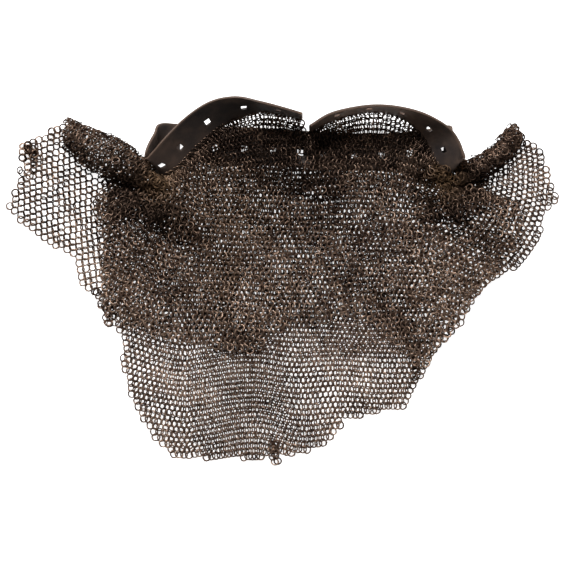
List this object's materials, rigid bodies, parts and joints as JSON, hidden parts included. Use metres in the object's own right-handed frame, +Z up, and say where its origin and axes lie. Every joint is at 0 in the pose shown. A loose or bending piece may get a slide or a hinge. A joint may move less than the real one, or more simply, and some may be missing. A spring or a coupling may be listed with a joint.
{
  "type": "chainmail aventail",
  "caption": "Mail neck curtain of interlinked iron rings hung from a slotted leather strap, laid flat on its back with the strap bowed up in two arches.",
  "frame": {"origin": "centre of the bounding box on the ground plane", "axes": "+X along the strap, from the wearer's right shoulder to the left as it lies; +Y from the hem towards the neck; +Z up from the surface it lies on"},
  "size_m": [0.616, 0.395, 0.0598],
  "materials": {
    "leather": "old dark brown leather, dull sheen, rubbed paler along its edges",
    "mail": "dark patinated iron wire, brown-black, with worn highlights and traces of rust by the strap"
  },
  "bodies": {
    "root": {"neck_strap": "leather", "mail_front": "mail", "mail_back": "mail", "mail_fold_left": "mail", "mail_fold_right": "mail"}
  },
  "joints": []
}
